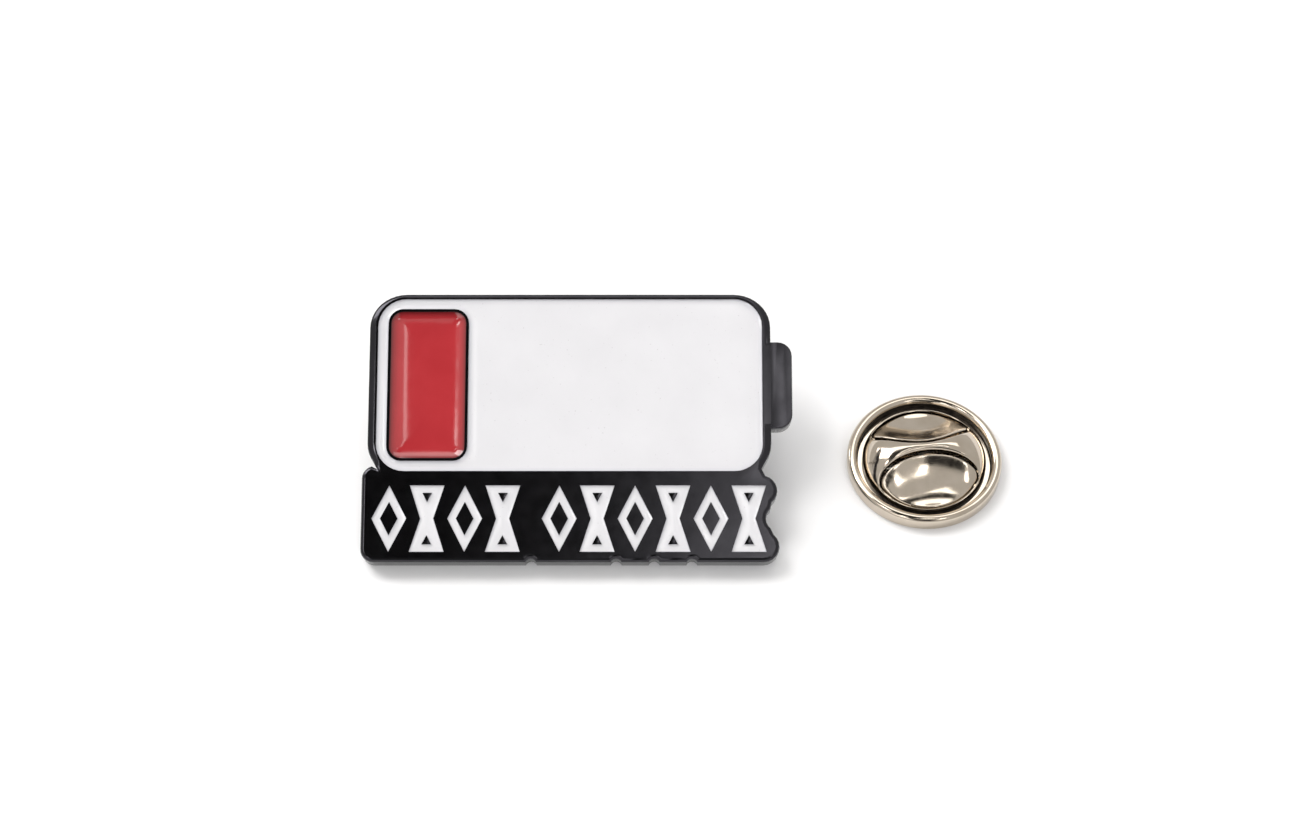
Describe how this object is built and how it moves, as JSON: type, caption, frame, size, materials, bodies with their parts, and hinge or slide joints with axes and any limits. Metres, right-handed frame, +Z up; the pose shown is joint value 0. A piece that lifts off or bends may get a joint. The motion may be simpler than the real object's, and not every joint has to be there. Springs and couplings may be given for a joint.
{
  "type": "enamel pin",
  "caption": "Soft-enamel lapel pin: a nearly empty battery over an ornamental banner, with a soldered tack post and a loose butterfly clutch beside it.",
  "frame": {"origin": "middle of the whole layout's footprint, on the table at z = 0", "axes": "+X to the badge's right along its banner, +Y away from the viewer (the badge's face climbs that way), +Z up"},
  "size_m": [0.0472, 0.019, 0.0093],
  "materials": {
    "black_nickel": "glossy black nickel plating on zinc alloy",
    "white_enamel": "glossy white soft enamel, recessed below the metal lines",
    "red_enamel": "glossy red soft enamel with a raised meniscus at its wall",
    "tack_nickel": "nickel-plated, turned",
    "solder": "dull satin solder",
    "clutch_nickel": "polished warm nickel plating on pressed steel",
    "spring_steel": "drawn spring wire"
  },
  "bodies": {
    "badge": {"badge_plate": "black_nickel", "white_field_enamel": "white_enamel", "red_cell_enamel": "red_enamel", "banner_inlay_01": "white_enamel", "banner_inlay_02": "white_enamel", "banner_inlay_03": "white_enamel", "banner_inlay_04": "white_enamel", "banner_inlay_05": "white_enamel", "banner_inlay_06": "white_enamel", "banner_inlay_07": "white_enamel", "banner_inlay_08": "white_enamel", "banner_inlay_09": "white_enamel", "banner_inlay_10": "white_enamel", "tack_post": "tack_nickel", "solder_fillet": "solder"},
    "clutch": {"clutch_base": "clutch_nickel", "clutch_bridge": "clutch_nickel", "spring_bend": "spring_steel"},
    "wing_front": {"wing_front": "clutch_nickel"},
    "wing_rear": {"wing_rear": "clutch_nickel"},
    "leg_front": {"spring_leg_front": "spring_steel"},
    "leg_rear": {"spring_leg_rear": "spring_steel"}
  },
  "joints": [
    {"name": "clutch_lift", "type": "slide", "parent": "badge", "child": "clutch", "axis": [0, 0, 1], "range_m": [0, 0.02]},
    {"name": "wing_front_pinch", "type": "hinge", "parent": "clutch", "child": "wing_front", "pos_m": [0.01825, -0.00414, 0.0008], "axis": [-0.9945, -0.1045, 0], "range_deg": [0, 6], "stiffness_Nm_per_rad": 0.14},
    {"name": "wing_rear_pinch", "type": "hinge", "parent": "clutch", "child": "wing_rear", "pos_m": [0.01741, 0.00391, 0.0008], "axis": [0.9945, 0.1045, 0], "range_deg": [0, 6], "stiffness_Nm_per_rad": 0.14},
    {"name": "leg_front_open", "type": "hinge", "parent": "clutch", "child": "leg_front", "pos_m": [0.01491, -0.00107, 0.001], "axis": [0, 0, -1], "range_deg": [0, 3.6]},
    {"name": "leg_rear_open", "type": "hinge", "parent": "clutch", "child": "leg_rear", "pos_m": [0.01478, 0.00022, 0.001], "axis": [0, 0, 1], "range_deg": [0, 3.6]}
  ],
  "couplings": [
    {"joint": "leg_front_open", "follows": "wing_front_pinch", "ratio": 0.6},
    {"joint": "leg_rear_open", "follows": "wing_rear_pinch", "ratio": 0.6}
  ]
}
